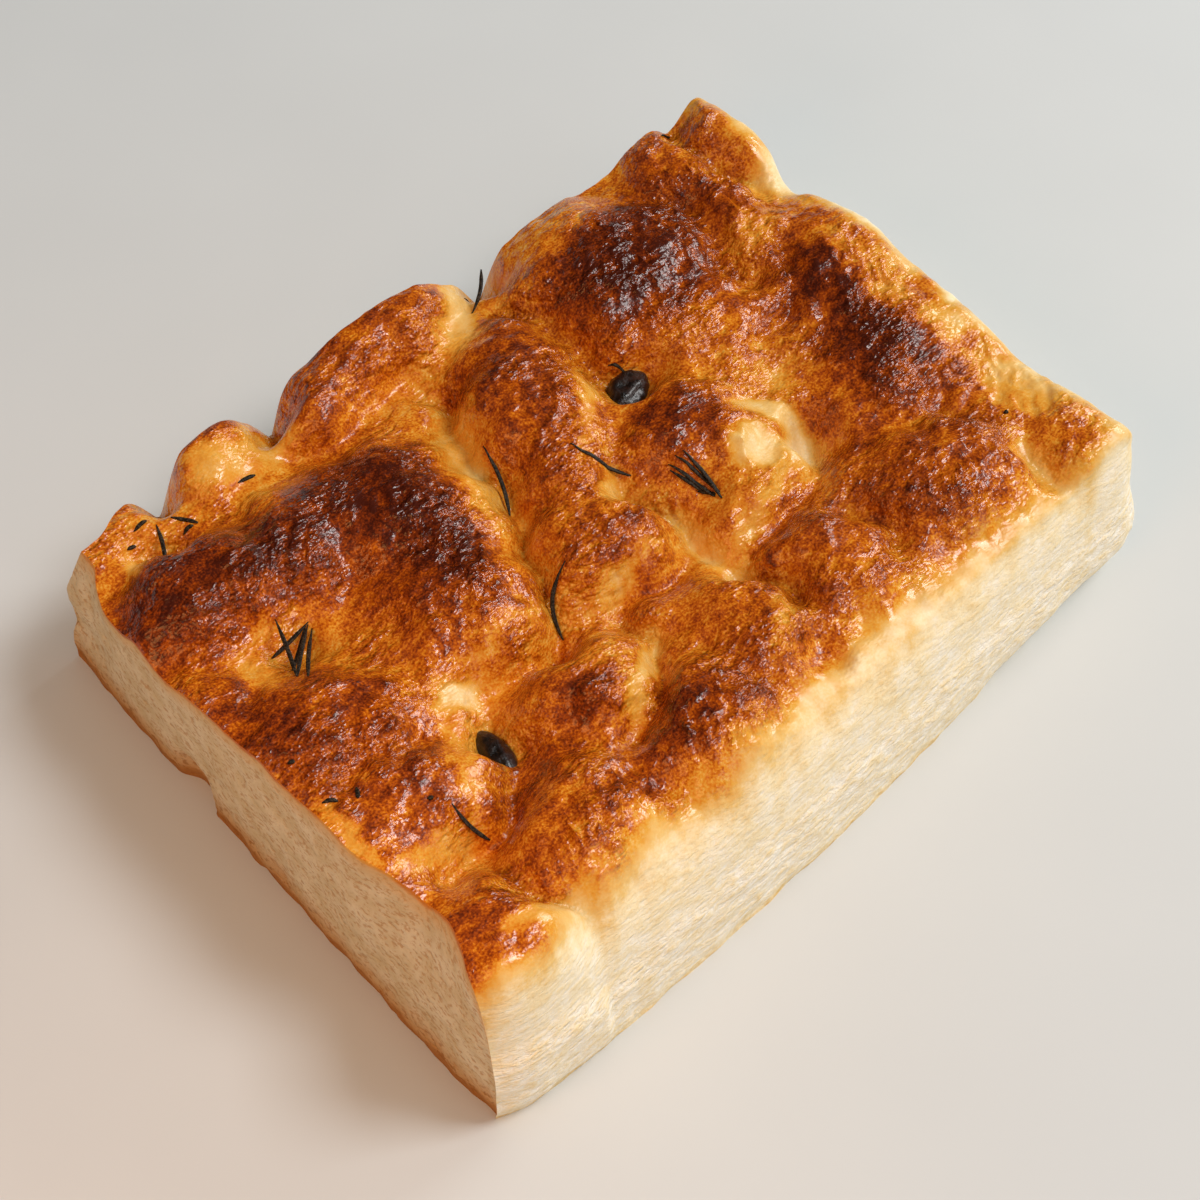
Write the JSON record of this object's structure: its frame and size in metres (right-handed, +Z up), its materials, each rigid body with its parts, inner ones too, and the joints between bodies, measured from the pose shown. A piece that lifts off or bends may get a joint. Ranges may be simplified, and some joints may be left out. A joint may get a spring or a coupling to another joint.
{
  "type": "focaccia piece",
  "caption": "Corner piece of tray-baked focaccia with a deeply dimpled crust, cut and baked sides, black olives and rosemary needles.",
  "frame": {"origin": "middle of the flat underside, on the surface it rests on", "axes": "+X along the piece towards the short baked side, +Y towards the long cut side, +Z up"},
  "size_m": [0.2103, 0.1537, 0.0478],
  "materials": {
    "crust": "satin",
    "crumb": "matte",
    "olive": "gloss",
    "rosemary": "matte"
  },
  "bodies": {
    "root": {"bread": "crust", "olive_1": "olive", "olive_2": "olive"}
  },
  "joints": []
}
